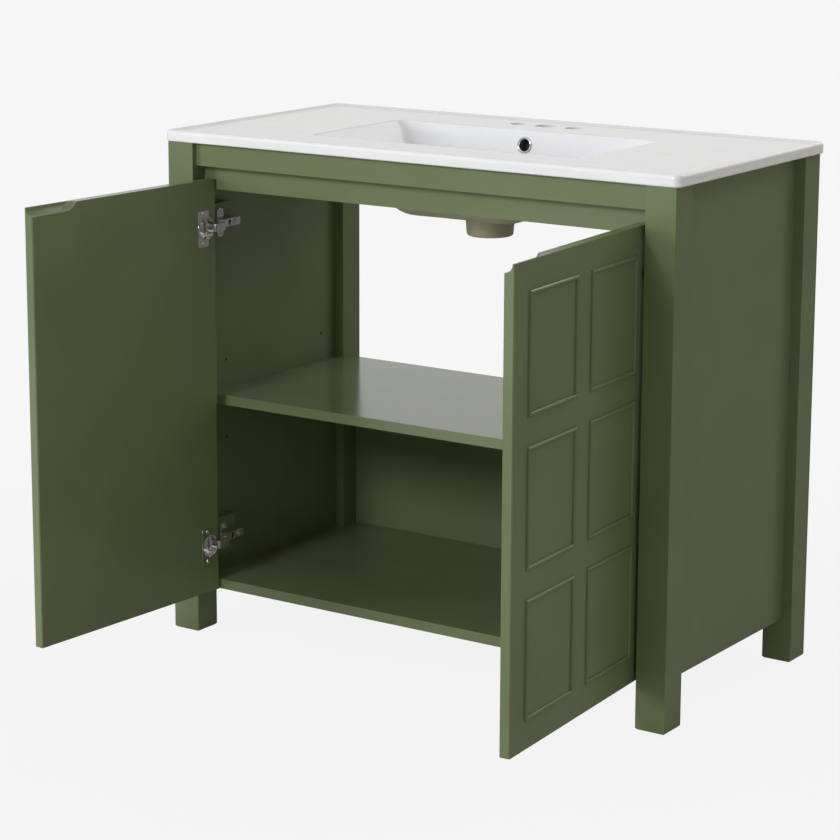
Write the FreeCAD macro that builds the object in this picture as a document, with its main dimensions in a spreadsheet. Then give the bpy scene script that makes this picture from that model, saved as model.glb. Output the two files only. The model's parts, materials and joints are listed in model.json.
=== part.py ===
import FreeCAD, Part
import os
import re
import Sketcher

# Free-standing two-door vanity unit with an integrated ceramic basin top.
# Millimetres. +X to the right seen from the front, +Y to the wall, +Z up, floor at Z = 0.
# Both doors stand open, as the stored rest pose.

Vector = FreeCAD.Vector
TINY = 0.001

SIZES = {
    # Legs and their glides
    "cabinet_width": 900.0,
    "cabinet_depth": 450.0,
    "leg_side": 48.0,
    "leg_length": 792.0,
    "leg_chamfer": 2.5,
    "glide_height": 3.0,
    "glide_diameter": 22.0,
    "glide_taper": 1.5,
    # Place of the frame's origin, behind the front faces of the legs
    "origin_to_front": 43.4,
    # Side panels, let into grooves in the legs
    "side_setback": 16.0,
    "side_thickness": 16.0,
    "tongue": 8.0,
    "underside": 72.0,
    # Bottom, back and shelf
    "bottom_setback": 30.0,
    "bottom_thickness": 16.0,
    "back_thickness": 6.0,
    "back_setback": 5.0,
    "back_height": 300.0,
    "back_tongue": 8.0,
    "shelf_top": 387.0,
    "shelf_thickness": 16.0,
    "shelf_gap": 1.0,
    "shelf_back_gap": 21.0,
    # Rails under the top
    "upper_rail_setback": 9.0,
    "upper_rail_height": 36.0,
    "lower_rail_setback": 30.0,
    "lower_rail_thickness": 16.0,
    "lower_rail_height": 74.0,
    "rear_rail_setback": 10.0,
    "rear_rail_thickness": 16.0,
    "rear_rail_height": 80.0,
    # Wooden dowels
    "dowel_diameter": 8.0,
    "dowel_length": 32.0,
    "rear_dowel_spacing": 40.0,
    "bottom_dowel_depth": 9.0,
    "bottom_dowel_inset": 90.0,
    # Shelf pins and the spare holes of their rows
    "pin_diameter": 5.0,
    "pin_insert": 9.0,
    "pin_reach": 8.0,
    "pin_pitch": 64.0,
    "pin_front_setback": 52.0,
    "pin_rear_setback": 42.0,
    # Ceramic top: slab, dished deck and bowl
    "top_side_overhang": 6.0,
    "top_front_overhang": 3.0,
    "top_rear_overhang": 7.0,
    "top_thickness": 18.0,
    "top_corner_radius": 12.0,
    "top_edge_radius": 6.0,
    "top_under_radius": 3.0,
    "lip_width": 9.0,
    "lip_slope": 7.0,
    "lip_height": 2.5,
    "bowl_end_margin": 216.0,
    "bowl_front_margin": 93.0,
    "bowl_rear_margin": 123.0,
    "bowl_depth": 106.0,
    "bowl_end_slope": 57.5,
    "bowl_shoulder_depth": 50.0,
    "bowl_shoulder_radius": 60.0,
    "bowl_floor_slope": 107.5,
    "bowl_front_slope": 31.0,
    "bowl_rear_slope": 14.5,
    "bowl_corner_radius": 16.0,
    "bowl_rim_radius": 5.0,
    "bowl_cove_radius": 15.0,
    "bowl_wall": 11.5,
    "bowl_rear_wall": 26.0,
    "belly_end_wall": 25.0,
    "belly_corner_radius": 56.0,
    "belly_radius": 46.0,
    # Drain boss, tap holes and overflow
    "drain_rear_offset": 20.0,
    "drain_bore": 45.0,
    "boss_top_diameter": 80.0,
    "boss_bottom_diameter": 72.0,
    "boss_length": 36.0,
    "boss_edge_radius": 4.0,
    "tap_rear_margin": 62.0,
    "tap_spacing": 101.6,
    "tap_centre_bore": 35.0,
    "tap_side_bore": 28.0,
    "overflow_drop": 24.0,
    "overflow_bore": 22.0,
    "overflow_depth": 16.0,
    "ring_diameter": 27.0,
    "ring_opening": 17.0,
    "ring_thickness": 2.5,
    "ring_sleeve": 9.0,
    "ring_clearance": 0.1,
    # Doors, measured when closed
    "door_bottom_gap": 1.0,
    "finger_gap": 21.0,
    "door_width": 397.0,
    "door_thickness": 16.0,
    "door_side_gap": 3.0,
    "door_chamfer": 1.5,
    "door_open_angle": 93.6,
    "frame_margin": 40.0,
    "bead_width": 6.0,
    "bead_height": 3.2,
    "bead_radius": 2.8,
    "scoop_lip": 3.0,
    "scoop_length": 66.0,
    "scoop_runout": 32.0,
    "scoop_overrun": 1.5,
    # Concealed hinges
    "hinge_from_end": 76.0,
    "pivot_from_edge": 11.0,
    "pivot_depth": 7.0,
    "cup_from_edge": 22.5,
    "cup_diameter": 35.0,
    "cup_depth": 12.5,
    "cup_wall": 0.9,
    "cup_rim_diameter": 38.0,
    "flange_thickness": 1.2,
    "flange_width": 23.0,
    "flange_height": 58.0,
    "cup_screw_spacing": 48.0,
    "cup_screw_offset": 6.0,
    "hinge_pin_diameter": 2.4,
    "hinge_pin_length": 22.0,
    "hinge_pin_clearance": 0.05,
    "pin_ear_diameter": 5.6,
    "pin_ear_gap": 0.7,
    "eye_diameter": 4.4,
    "arm_thickness": 1.6,
    "arm_width": 12.6,
    "arm_bend_radius": 1.4,
    "cheek_thickness": 1.2,
    "neck_cheek_depth": 7.0,
    "tail_cheek_depth": 9.0,
    "cheek_start": 8.0,
    "neck_reach": 18.5,
    "bend_from_front": 41.0,
    "arm_tail_from_front": 104.0,
    "saddle_height": 11.0,
    "saddle_width": 10.0,
    "saddle_from_front": 50.0,
    "saddle_length": 46.0,
    "plate_thickness": 2.0,
    "plate_from_front": 66.0,
    "plate_width": 16.0,
    "plate_height": 46.0,
    "plate_screw_spacing": 32.0,
    "arm_screw_front": 58.0,
    "arm_screw_rear": 90.0,
    "arm_screw_depth": 8.0,
    "screw_head_diameter": 7.0,
    "screw_head_height": 1.6,
    "screw_diameter": 3.5,
    "screw_length": 11.0,
    "hinge_block_depth": 50.0,
    "hinge_block_height": 62.0,
}

# Places and sizes that follow from the driving dimensions.
PLACES = {
    "leg_outer": "cabinet_width / 2",
    "leg_inner": "cabinet_width / 2 - leg_side",
    "front": "-origin_to_front",
    "rear": "cabinet_depth - origin_to_front",
    "front_leg_back": "front + leg_side",
    "rear_leg_front": "rear - leg_side",
    "leg_top": "glide_height + leg_length",
    "side_outer": "leg_outer - side_setback",
    "side_inner": "side_outer - side_thickness",
    "bottom_face": "front + bottom_setback",
    "bottom_surface": "underside + bottom_thickness",
    "back_face": "rear - back_setback - back_thickness",
    "shelf_under": "shelf_top - shelf_thickness",
    "shelf_rear": "back_face - shelf_back_gap",
    "pin_level": "shelf_under - pin_diameter / 2",
    "pin_front_row": "front_leg_back + pin_front_setback",
    "pin_rear_row": "rear_leg_front - pin_rear_setback",
    "upper_rail_face": "front + upper_rail_setback",
    "upper_rail_under": "leg_top - upper_rail_height",
    "lower_rail_face": "front + lower_rail_setback",
    "lower_rail_back": "lower_rail_face + lower_rail_thickness",
    "lower_rail_under": "leg_top - lower_rail_height",
    "rear_rail_back": "rear - rear_rail_setback",
    "rear_rail_face": "rear_rail_back - rear_rail_thickness",
    "top_half": "leg_outer + top_side_overhang",
    "top_front": "front - top_front_overhang",
    "top_rear": "rear + top_rear_overhang",
    "top_surface": "leg_top + top_thickness",
    "deck": "top_surface - lip_height",
    "bowl_half": "top_half - bowl_end_margin",
    "bowl_front": "top_front + bowl_front_margin",
    "bowl_rear": "top_rear - bowl_rear_margin",
    "bowl_shoulder_half": "bowl_half - bowl_end_slope",
    "bowl_shoulder_front": "bowl_front + bowl_front_slope * bowl_shoulder_depth / bowl_depth",
    "bowl_shoulder_rear": "bowl_rear - bowl_rear_slope * bowl_shoulder_depth / bowl_depth",
    "bowl_shoulder": "deck - bowl_shoulder_depth",
    "bowl_floor_half": "bowl_shoulder_half - bowl_floor_slope",
    "bowl_floor_front": "bowl_front + bowl_front_slope",
    "bowl_floor_rear": "bowl_rear - bowl_rear_slope",
    "bowl_floor": "deck - bowl_depth",
    "belly_under": "bowl_floor - bowl_wall",
    "boss_under": "belly_under - boss_length",
    "drain_place": "(bowl_front + bowl_rear) / 2 + drain_rear_offset",
    "tap_place": "top_rear - tap_rear_margin",
    "wall_lean": "atan(bowl_rear_slope / bowl_depth)",
    "overflow_level": "deck - overflow_drop",
    "overflow_place": "bowl_rear - overflow_drop * tan(wall_lean)",
    "pivot_place": "leg_inner - door_side_gap - pivot_from_edge",
    "pivot_row": "upper_rail_face + pivot_depth",
    "door_free_edge": "pivot_from_edge - door_width",
    "door_back": "door_thickness - pivot_depth",
    "door_bottom": "underside + door_bottom_gap",
    "door_top": "upper_rail_under - finger_gap",
    "door_height": "door_top - door_bottom",
    "panel_width": "(door_width - 3 * frame_margin) / 2",
    "panel_height": "(door_height - 4 * frame_margin) / 3",
    "scoop_radius": "door_thickness - scoop_lip",
    "cup_place": "pivot_from_edge - cup_from_edge",
    "cup_screw_place": "cup_place - cup_screw_offset",
    "flange_face": "door_back + flange_thickness",
    "arm_line": "leg_inner - saddle_height - arm_thickness / 2",
    "arm_face": "arm_line - arm_thickness / 2",
    "neck_line": "pivot_place - neck_reach",
    "bend_row": "front + bend_from_front",
    "plate_row": "front + plate_from_front",
    "plate_face": "leg_inner - plate_thickness",
}

HINGE_LEVELS = ("door_bottom + hinge_from_end", "door_top - hinge_from_end")
BEAD_COLUMNS = 2
BEAD_ROWS = 3

# A cylinder is drawn along +Z. These turns lay it along the named axis.
LAID_ALONG = {
    "x": FreeCAD.Rotation(Vector(0, 1, 0), 90),
    "y": FreeCAD.Rotation(Vector(1, 0, 0), -90),
    "z": FreeCAD.Rotation(),
}

doc = FreeCAD.newDocument("VanityUnit")
sheet = doc.addObject("Spreadsheet::Sheet", "Sizes")
for row, (alias, number) in enumerate(SIZES.items(), start=1):
    sheet.set(f"A{row}", alias)
    sheet.set(f"B{row}", str(number))
    sheet.setAlias(f"B{row}", alias)
doc.recompute()


def formula(text):
    """Turn the plain names of sizes and places into an expression on the sheet."""
    def spell_out(match):
        word = match.group()
        if word in SIZES:
            return f"Sizes.{word}"
        if word in PLACES:
            return f"({formula(PLACES[word])})"
        return word
    return re.sub(r"[a-z_]+", spell_out, text)


def value(text):
    return float(sheet.evalExpression(formula(text)))


def bind(piece, prop, text):
    piece.setExpression(prop, formula(text))


def place(piece, x, y, z, turn=FreeCAD.Rotation()):
    piece.Placement = FreeCAD.Placement(Vector(), turn)
    bind(piece, "Placement.Base.x", x)
    bind(piece, "Placement.Base.y", y)
    bind(piece, "Placement.Base.z", z)


# Plain solids and their combinations

def board(name, x, y, z):
    """A square-edged board between pairs of low and high places."""
    piece = doc.addObject("Part::Box", name)
    for prop, (low, high) in (("Length", x), ("Width", y), ("Height", z)):
        bind(piece, prop, f"({high}) - ({low})")
    place(piece, x[0], y[0], z[0])
    return piece


def rod(name, along, start, diameter, length):
    piece = doc.addObject("Part::Cylinder", name)
    bind(piece, "Radius", f"({diameter}) / 2")
    bind(piece, "Height", length)
    place(piece, *start, LAID_ALONG[along])
    return piece


def group(name, pieces):
    piece = doc.addObject("Part::Compound", name)
    piece.Links = pieces
    return piece


def fuse(name, pieces):
    piece = doc.addObject("Part::MultiFuse", name)
    piece.Shapes = pieces
    return piece


def cut(name, base, *tools):
    """Cut a piece to the shape of what sits in it."""
    piece = doc.addObject("Part::Cut", name)
    piece.Base = base
    piece.Tool = tools[0] if len(tools) == 1 else group(f"{name}_tools", list(tools))
    return piece


def mirrored(name, source):
    """The left-hand twin of a right-hand piece."""
    piece = doc.addObject("Part::Mirroring", name)
    piece.Source = source
    piece.Normal = Vector(1, 0, 0)
    return piece


def hung(piece):
    """Swing a door piece, drawn closed about its pivot, to the rest pose."""
    place(piece, "pivot_place", "pivot_row", "0", FreeCAD.Rotation(Vector(0, 0, 1), 90))
    bind(piece, "Placement.Rotation.Angle", "door_open_angle")
    return piece


# Sketched bodies

def new_body(name):
    return doc.addObject("PartDesign::Body", name)


def new_sketch(body, role, offset="0"):
    """A sketch on one of the body's origin planes, moved along the plane's normal."""
    plane = [item for item in body.Origin.OriginFeatures if item.Role == role][0]
    sketch = body.newObject("Sketcher::SketchObject", f"{body.Name}_sketch")
    sketch.AttachmentSupport = (plane, [""])
    sketch.MapMode = "FlatFace"
    bind(sketch, "AttachmentOffset.Base.z", offset)
    return sketch


def dimension(sketch, kind, places, text):
    number = sketch.addConstraint(Sketcher.Constraint(kind, *places, value(text)))
    bind(sketch, f"Constraints[{number}]", text)


def polygon(sketch, corners):
    """A closed outline of straight edges through dimensioned corners."""
    first = sketch.GeometryCount
    points = [Vector(value(x), value(y), 0) for x, y in corners]
    count = len(points)
    for index in range(count):
        edge = Part.LineSegment(points[index], points[(index + 1) % count])
        sketch.addGeometry(edge, False)
    for index in range(count):
        after = first + (index + 1) % count
        sketch.addConstraint(Sketcher.Constraint("Coincident", first + index, 2, after, 1))
    for index, (x, y) in enumerate(corners):
        dimension(sketch, "DistanceX", (-1, 1, first + index, 1), x)
        dimension(sketch, "DistanceY", (-1, 1, first + index, 1), y)


def circle(sketch, x, y, diameter):
    centre = Vector(value(x), value(y), 0)
    number = sketch.addGeometry(Part.Circle(centre, Vector(0, 0, 1), value(diameter) / 2), False)
    dimension(sketch, "DistanceX", (-1, 1, number, 3), x)
    dimension(sketch, "DistanceY", (-1, 1, number, 3), y)
    dimension(sketch, "Diameter", (number,), diameter)


def rounded_rectangle(sketch, x, y, radius):
    """A rectangle between pairs of low and high places, with equal corner arcs."""
    (left, right), (low, high) = [[value(text) for text in pair] for pair in (x, y)]
    bend = value(radius)
    quarter = FreeCAD.Units.Quantity("90 deg").getValueAs("rad").Value
    centres = [(right - bend, low + bend), (right - bend, high - bend),
               (left + bend, high - bend), (left + bend, low + bend)]
    sides = [((left + bend, low), (right - bend, low)), ((right, low + bend), (right, high - bend)),
             ((right - bend, high), (left + bend, high)), ((left, high - bend), (left, low + bend))]
    for index, (centre, side) in enumerate(zip(centres, sides)):
        sketch.addGeometry(Part.LineSegment(Vector(*side[0], 0), Vector(*side[1], 0)), False)
        ring = Part.Circle(Vector(*centre, 0), Vector(0, 0, 1), bend)
        sketch.addGeometry(Part.ArcOfCircle(ring, (index - 1) * quarter, index * quarter), False)
    for index in range(8):
        sketch.addConstraint(Sketcher.Constraint("Tangent", index, 2, (index + 1) % 8, 1))
    for index in (0, 4):
        sketch.addConstraint(Sketcher.Constraint("Horizontal", index))
        sketch.addConstraint(Sketcher.Constraint("Vertical", index + 2))
    for index in (3, 5, 7):
        sketch.addConstraint(Sketcher.Constraint("Equal", 1, index))
    dimension(sketch, "Radius", (1,), radius)
    dimension(sketch, "DistanceY", (-1, 1, 0, 1), y[0])
    dimension(sketch, "DistanceX", (-1, 1, 2, 1), x[1])
    dimension(sketch, "DistanceY", (-1, 1, 4, 1), y[1])
    dimension(sketch, "DistanceX", (-1, 1, 6, 1), x[0])


def pad(body, sketch, length, midplane=False):
    feature = body.newObject("PartDesign::Pad", f"{body.Name}_pad")
    feature.Profile = sketch
    feature.Midplane = midplane
    bind(feature, "Length", length)
    doc.recompute()
    return feature


def frustum(body, kind, top, bottom, x, y, low_x, low_y):
    """A four-sided taper from a rectangle at the top level to another at the bottom level."""
    feature = body.newObject(f"PartDesign::{kind}Wedge", f"{body.Name}_taper")
    bounds = {"Xmin": x[0], "Xmax": x[1], "Zmin": y[0], "Zmax": y[1], "Ymax": f"({top}) - ({bottom})",
              "X2min": low_x[0], "X2max": low_x[1], "Z2min": low_y[0], "Z2max": low_y[1]}
    for prop, text in bounds.items():
        setattr(feature, prop, value(text))
        bind(feature, prop, text)
    feature.Ymin = 0
    place(feature, "0", "0", top, FreeCAD.Rotation(Vector(1, 0, 0), -90))
    doc.recompute()
    return feature


def chosen(feature, test):
    """The names of the edges that a test on their boxes picks."""
    return [f"Edge{number}" for number, edge in enumerate(feature.Shape.Edges, start=1)
            if test(edge.BoundBox)]


def at(level, number):
    return abs(level - number) < TINY


def ease(body, kind, base, size, test):
    """Fillet or chamfer the chosen edges of a body's last feature."""
    feature = body.newObject(f"PartDesign::{kind}", f"{body.Name}_{kind.lower()}")
    feature.Base = (base, chosen(base, test))
    bind(feature, "Radius" if kind == "Fillet" else "Size", size)
    doc.recompute()
    return feature


def bore(body, start, diameter, length):
    """An upright round hole through a body."""
    feature = body.newObject("PartDesign::SubtractiveCylinder", f"{body.Name}_bore")
    bind(feature, "Radius", f"({diameter}) / 2")
    bind(feature, "Height", length)
    place(feature, *start)
    doc.recompute()
    return feature


# Carcass

def leg(name, y):
    """A square post, with its bottom edges chamfered against splitting."""
    body = new_body(name)
    sketch = new_sketch(body, "XY_Plane", "glide_height")
    x = ("leg_inner", "leg_outer")
    polygon(sketch, [(x[0], y[0]), (x[1], y[0]), (x[1], y[1]), (x[0], y[1])])
    post = pad(body, sketch, "leg_length")
    foot = value("glide_height")
    ease(body, "Chamfer", post, "leg_chamfer", lambda box: at(box.ZMax, foot))
    return body


def notched_board(name, right_corners, z, thickness):
    """A board that is the same on both sides and cut out round the legs."""
    body = new_body(name)
    sketch = new_sketch(body, "XY_Plane", z)
    left_corners = [(f"-({x})", y) for x, y in reversed(right_corners)]
    polygon(sketch, right_corners + left_corners)
    pad(body, sketch, thickness)
    return body


def leg_glides():
    """Plastic nail-on glides, slightly tapered, one under each leg."""
    glides = []
    for side in (-1, 1):
        for row in ("front + leg_side / 2", "rear - leg_side / 2"):
            glide = doc.addObject("Part::Cone", "glide")
            bind(glide, "Radius1", "glide_diameter / 2 - glide_taper")
            bind(glide, "Radius2", "glide_diameter / 2")
            bind(glide, "Height", "glide_height")
            place(glide, f"{side} * (leg_outer - leg_side / 2)", row, "0")
            glides.append(glide)
    return group("leg_glides", glides)


def rail_dowels():
    """Dowels that pin the three rails to the legs."""
    rows = [("(upper_rail_face + lower_rail_face) / 2", "leg_top - upper_rail_height / 2"),
            ("(lower_rail_face + lower_rail_back) / 2", "(lower_rail_under + upper_rail_under) / 2")]
    for side in (-1, 1):
        rows.append(("(rear_rail_face + rear_rail_back) / 2",
                     f"leg_top - rear_rail_height / 2 + {side} * rear_dowel_spacing / 2"))
    dowels = []
    for y, z in rows:
        for side in (-1, 1):
            start = (f"{side} * leg_inner - dowel_length / 2", y, z)
            dowels.append(rod("rail_dowel", "x", start, "dowel_diameter", "dowel_length"))
    return group("rail_dowels", dowels)


def bottom_dowels():
    """Dowels between the bottom panel and the side panels."""
    dowels = []
    rows = ("bottom_face + bottom_dowel_inset", "(bottom_face + back_face) / 2",
            "back_face - bottom_dowel_inset")
    starts = ("side_inner + bottom_dowel_depth - dowel_length", "-side_inner - bottom_dowel_depth")
    for y in rows:
        for x in starts:
            start = (x, y, "underside + bottom_thickness / 2")
            dowels.append(rod("bottom_dowel", "x", start, "dowel_diameter", "dowel_length"))
    return group("bottom_dowels", dowels)


def shelf_pins():
    """Round steel pins under the shelf, pushed into the side panels."""
    pins = []
    for y in ("pin_front_row", "pin_rear_row"):
        for x in ("side_inner - pin_reach", "-side_inner - pin_insert"):
            start = (x, y, "pin_level")
            pins.append(rod("shelf_pin", "x", start, "pin_diameter", "pin_reach + pin_insert"))
    return group("shelf_pins", pins)


def spare_pin_holes():
    """The unused holes of the pin rows, a pitch above and below the shelf."""
    holes = []
    for y in ("pin_front_row", "pin_rear_row"):
        for side in (-1, 1):
            start = ("side_inner", y, f"pin_level + {side} * pin_pitch")
            holes.append(rod("spare_hole", "x", start, "pin_diameter", "pin_insert"))
    return group("spare_pin_holes", holes)


# Ceramic top

def ceramic_top():
    """One moulding: dished slab, sloping bowl, drain boss, tap holes and overflow."""
    body = new_body("ceramic_top")
    surface = value("top_surface")
    sketch = new_sketch(body, "XY_Plane", "leg_top")
    rounded_rectangle(sketch, ("-top_half", "top_half"), ("top_front", "top_rear"), "top_corner_radius")
    slab = pad(body, sketch, "top_thickness")
    slab = ease(body, "Fillet", slab, "top_edge_radius", lambda box: at(box.ZMin, surface))
    seat = value("leg_top")
    ease(body, "Fillet", slab, "top_under_radius", lambda box: at(box.ZMax, seat))
    inner = "lip_width + lip_slope"
    frustum(body, "Subtractive", "top_surface", "deck",
            ("-top_half + lip_width", "top_half - lip_width"),
            ("top_front + lip_width", "top_rear - lip_width"),
            (f"-top_half + {inner}", f"top_half - ({inner})"),
            (f"top_front + {inner}", f"top_rear - ({inner})"))
    add_belly(body)
    add_bowl(body)
    add_holes(body)
    return body


def slanting(box, low, high):
    """True for an edge that runs down the whole height of a taper."""
    return at(box.ZMin, low) and at(box.ZMax, high)


def add_belly(body):
    """The outside of the bowl below the slab, thicker at the back for the overflow, and its boss."""
    belly = frustum(body, "Additive", "leg_top", "belly_under",
                    ("-bowl_half - bowl_wall", "bowl_half + bowl_wall"),
                    ("bowl_front - bowl_wall", "bowl_rear + bowl_rear_wall"),
                    ("-bowl_floor_half - belly_end_wall", "bowl_floor_half + belly_end_wall"),
                    ("bowl_floor_front - bowl_wall", "bowl_floor_rear + bowl_rear_wall"))
    under, seat = value("belly_under"), value("leg_top")
    belly = ease(body, "Fillet", belly, "belly_corner_radius", lambda box: slanting(box, under, seat))
    ease(body, "Fillet", belly, "belly_radius", lambda box: at(box.ZMax, under))
    boss = body.newObject("PartDesign::AdditiveCone", "drain_boss")
    bind(boss, "Radius1", "boss_bottom_diameter / 2")
    bind(boss, "Radius2", "boss_top_diameter / 2")
    bind(boss, "Height", "boss_length + bowl_wall / 2")
    place(boss, "0", "drain_place", "boss_under")
    doc.recompute()
    bottom = value("boss_under")
    ease(body, "Fillet", boss, "boss_edge_radius", lambda box: at(box.ZMax, bottom))


def bowl_corner(box):
    """True for each stretch of the four corner lines that run from the bowl's floor to the deck."""
    front = box.YMin > value("bowl_front") - TINY and box.YMax < value("bowl_floor_front") + TINY
    rear = box.YMin > value("bowl_floor_rear") - TINY and box.YMax < value("bowl_rear") + TINY
    return box.ZLength > TINY and (front or rear)


def add_bowl(body):
    """The hollow of the bowl: ends that flatten at a shoulder, rounded corners, a coved floor and rim."""
    half = ("-bowl_shoulder_half", "bowl_shoulder_half")
    depth = ("bowl_shoulder_front", "bowl_shoulder_rear")
    frustum(body, "Subtractive", "deck", "bowl_shoulder",
            ("-bowl_half", "bowl_half"), ("bowl_front", "bowl_rear"), half, depth)
    hollow = frustum(body, "Subtractive", "bowl_shoulder", "bowl_floor", half, depth,
                     ("-bowl_floor_half", "bowl_floor_half"), ("bowl_floor_front", "bowl_floor_rear"))
    floor, deck, shoulder = value("bowl_floor"), value("deck"), value("bowl_shoulder")
    hollow = ease(body, "Fillet", hollow, "bowl_shoulder_radius",
                  lambda box: at(box.ZMin, shoulder) and at(box.ZMax, shoulder) and box.XLength < TINY)
    hollow = ease(body, "Fillet", hollow, "bowl_corner_radius", bowl_corner)
    hollow = ease(body, "Fillet", hollow, "bowl_cove_radius",
                  lambda box: at(box.ZMin, floor) and at(box.ZMax, floor))
    reach = value("bowl_half") + TINY
    ease(body, "Fillet", hollow, "bowl_rim_radius",
         lambda box: at(box.ZMin, deck) and at(box.ZMax, deck) and box.XMax < reach and box.XMin > -reach)


def add_holes(body):
    """The drain, the three tap holes and the blind pocket of the overflow."""
    bore(body, ("0", "drain_place", "boss_under - bowl_wall"), "drain_bore",
         "bowl_floor - boss_under + 2 * bowl_wall")
    for x, diameter in (("0", "tap_centre_bore"), ("-tap_spacing / 2", "tap_side_bore"),
                        ("tap_spacing / 2", "tap_side_bore")):
        bore(body, (x, "tap_place", "leg_top - top_thickness"), diameter, "3 * top_thickness")
    pocket = bore(body, ("0", "0", "0"), "overflow_bore", "2 * overflow_depth")
    lay_on_rear_wall(pocket, "-overflow_depth")


def lay_on_rear_wall(piece, depth):
    """Point a piece's +Z square into the leaning rear wall at the overflow, started at a depth."""
    place(piece, "0", f"overflow_place + ({depth}) * cos(wall_lean)",
          f"overflow_level - ({depth}) * sin(wall_lean)", FreeCAD.Rotation(Vector(-1, 0, 0), 90))
    bind(piece, "Placement.Rotation.Angle", "90 + wall_lean / 1 deg")
    doc.recompute()


def overflow_ring():
    """A turned ring: a flange on the bowl's wall and a sleeve in the overflow."""
    body = new_body("overflow_ring")
    sketch = new_sketch(body, "XZ_Plane")
    sleeve = "overflow_bore / 2 - ring_clearance"
    polygon(sketch, [("ring_opening / 2", "-ring_thickness"),
                     ("ring_diameter / 2 - ring_thickness / 2", "-ring_thickness"),
                     ("ring_diameter / 2", "-ring_thickness / 2"), ("ring_diameter / 2", "0"),
                     (sleeve, "0"), (sleeve, "ring_sleeve"), ("ring_opening / 2", "ring_sleeve")])
    turned = body.newObject("PartDesign::Revolution", "overflow_ring_turned")
    turned.Profile = sketch
    turned.ReferenceAxis = (sketch, ["V_Axis"])
    turned.Angle = 360
    lay_on_rear_wall(body, "0")
    return body


# Doors, drawn closed about the pivot line

def door_panel(let_in):
    """A flat door with eased upright edges and a finger scoop in its top back edge."""
    body = new_body("right_door_slab")
    sketch = new_sketch(body, "XY_Plane", "door_bottom")
    x = ("door_free_edge", "pivot_from_edge")
    y = ("-pivot_depth", "door_back")
    polygon(sketch, [(x[0], y[0]), (x[1], y[0]), (x[1], y[1]), (x[0], y[1])])
    slab = pad(body, sketch, "door_height")
    tall = value("door_height")
    ease(body, "Chamfer", slab, "door_chamfer", lambda box: at(box.ZLength, tall))
    profile = new_sketch(body, "YZ_Plane", "door_free_edge - scoop_overrun")
    circle(profile, "door_back", "door_top", "2 * scoop_radius")
    scoop = body.newObject("PartDesign::SubtractivePipe", "finger_scoop")
    scoop.Profile = profile
    scoop.Spine = (scoop_path(body), ["Edge1", "Edge2", "Edge3"])
    doc.recompute()
    return cut("right_door_panel", body, let_in)


def scoop_path(body):
    """Along the door's top, then up and out in two equal tangent arcs."""
    sketch = new_sketch(body, "XZ_Plane", "-door_back")
    start, bend, end = [value(text) for text in (
        "door_free_edge - scoop_overrun", "door_free_edge + scoop_length",
        "door_free_edge + scoop_length + scoop_runout")]
    low = value("door_top")
    high = value("door_top + scoop_radius + scoop_overrun")
    middle = Vector((bend + end) / 2, (low + high) / 2, 0)
    sag = (high - low) / 8
    sketch.addGeometry(Part.LineSegment(Vector(start, low, 0), Vector(bend, low, 0)), False)
    lower = Vector((bend + middle.x) / 2, (low + middle.y) / 2 - sag, 0)
    upper = Vector((middle.x + end) / 2, (middle.y + high) / 2 + sag, 0)
    sketch.addGeometry(Part.Arc(Vector(bend, low, 0), lower, middle), False)
    sketch.addGeometry(Part.Arc(middle, upper, Vector(end, high, 0)), False)
    sketch.addConstraint(Sketcher.Constraint("Horizontal", 0))
    sketch.addConstraint(Sketcher.Constraint("Tangent", 0, 2, 1, 1))
    sketch.addConstraint(Sketcher.Constraint("Tangent", 1, 2, 2, 2))
    sketch.addConstraint(Sketcher.Constraint("Equal", 1, 2))
    sketch.addConstraint(Sketcher.Constraint("Vertical", 2, 3, 2, 1))
    dimension(sketch, "DistanceX", (-1, 1, 0, 1), "door_free_edge - scoop_overrun")
    dimension(sketch, "DistanceY", (-1, 1, 0, 1), "door_top")
    dimension(sketch, "DistanceX", (-1, 1, 0, 2), "door_free_edge + scoop_length")
    dimension(sketch, "DistanceX", (-1, 1, 2, 1), "door_free_edge + scoop_length + scoop_runout")
    dimension(sketch, "DistanceY", (-1, 1, 2, 1), "door_top + scoop_radius + scoop_overrun")
    return sketch


def door_beads():
    """Mitred bead frames on the door's face, in columns and rows with equal margins."""
    body = new_body("right_door_beads")
    sketch = new_sketch(body, "XZ_Plane", "pivot_depth")
    for column in range(BEAD_COLUMNS):
        for row in range(BEAD_ROWS):
            left = f"door_free_edge + frame_margin + {column} * (panel_width + frame_margin)"
            low = f"door_bottom + frame_margin + {row} * (panel_height + frame_margin)"
            for inset in ("0", "bead_width"):
                x = (f"{left} + {inset}", f"{left} + panel_width - {inset}")
                z = (f"{low} + {inset}", f"{low} + panel_height - {inset}")
                polygon(sketch, [(x[0], z[0]), (x[1], z[0]), (x[1], z[1]), (x[0], z[1])])
    frames = pad(body, sketch, "bead_height")
    crest = value("-pivot_depth - bead_height")
    ease(body, "Fillet", frames, "bead_radius", lambda box: at(box.YMax, crest))
    return body


def screw(name, along, start, towards):
    """A pan-head screw: the head ends and the shank starts at the seat, given by start."""
    axis = "xyz".index(along)
    places = {"head": list(start), "shank": list(start)}
    places["head"][axis] = f"{start[axis]} - screw_head_height" if towards > 0 else start[axis]
    places["shank"][axis] = start[axis] if towards > 0 else f"{start[axis]} - screw_length"
    head = rod("screw_head", along, places["head"], "screw_head_diameter", "screw_head_height")
    shank = rod("screw_shank", along, places["shank"], "screw_diameter", "screw_length")
    return fuse(name, [head, shank])


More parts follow.
